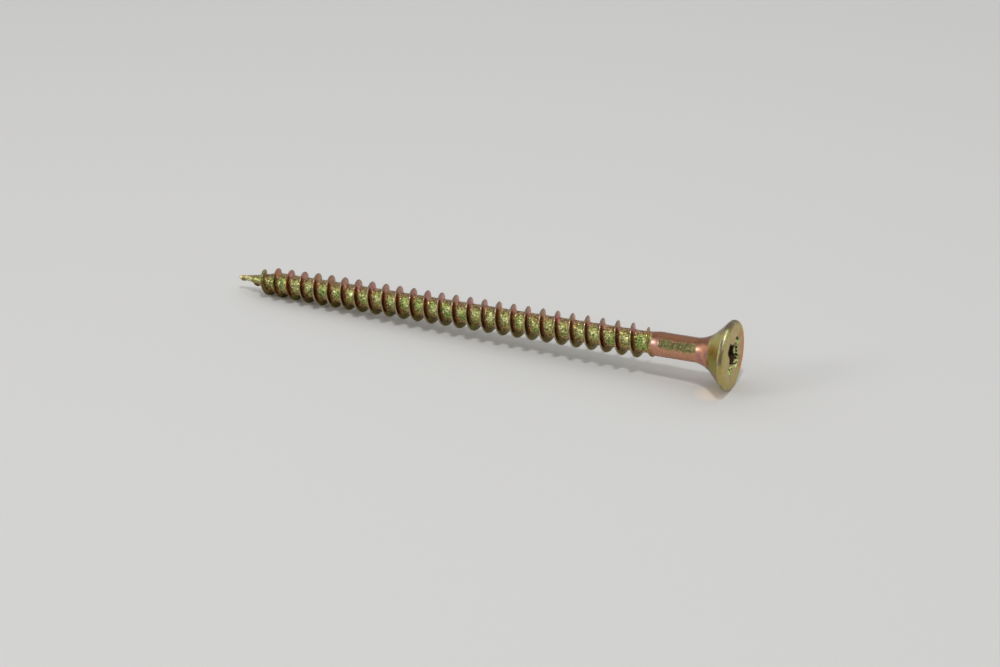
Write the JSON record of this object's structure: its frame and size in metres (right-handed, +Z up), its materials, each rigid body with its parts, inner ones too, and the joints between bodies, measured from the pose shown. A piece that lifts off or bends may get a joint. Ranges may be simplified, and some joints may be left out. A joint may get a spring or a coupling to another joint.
{
  "type": "self-tapping wood screw",
  "caption": "Countersunk self-tapping screw for wood and board, with a slim point, a coarse thread, a plain shank under the head and a cross recess.",
  "frame": {"origin": "on the floor that the screw lies on, below the middle of its bounding box", "axes": "+X along the screw from its point to its head, +Z up; the screw's own axis is tilted 2.2 degrees in the XZ plane, head end up, as it lies on the rim of its head and on a crest near its point"},
  "size_m": [0.0802, 0.01, 0.01],
  "materials": {
    "plating": "hardened carbon steel, zinc plated and yellow chromated, iridescent from olive gold to pink and green"
  },
  "bodies": {
    "root": {"screw": "plating"}
  },
  "joints": []
}
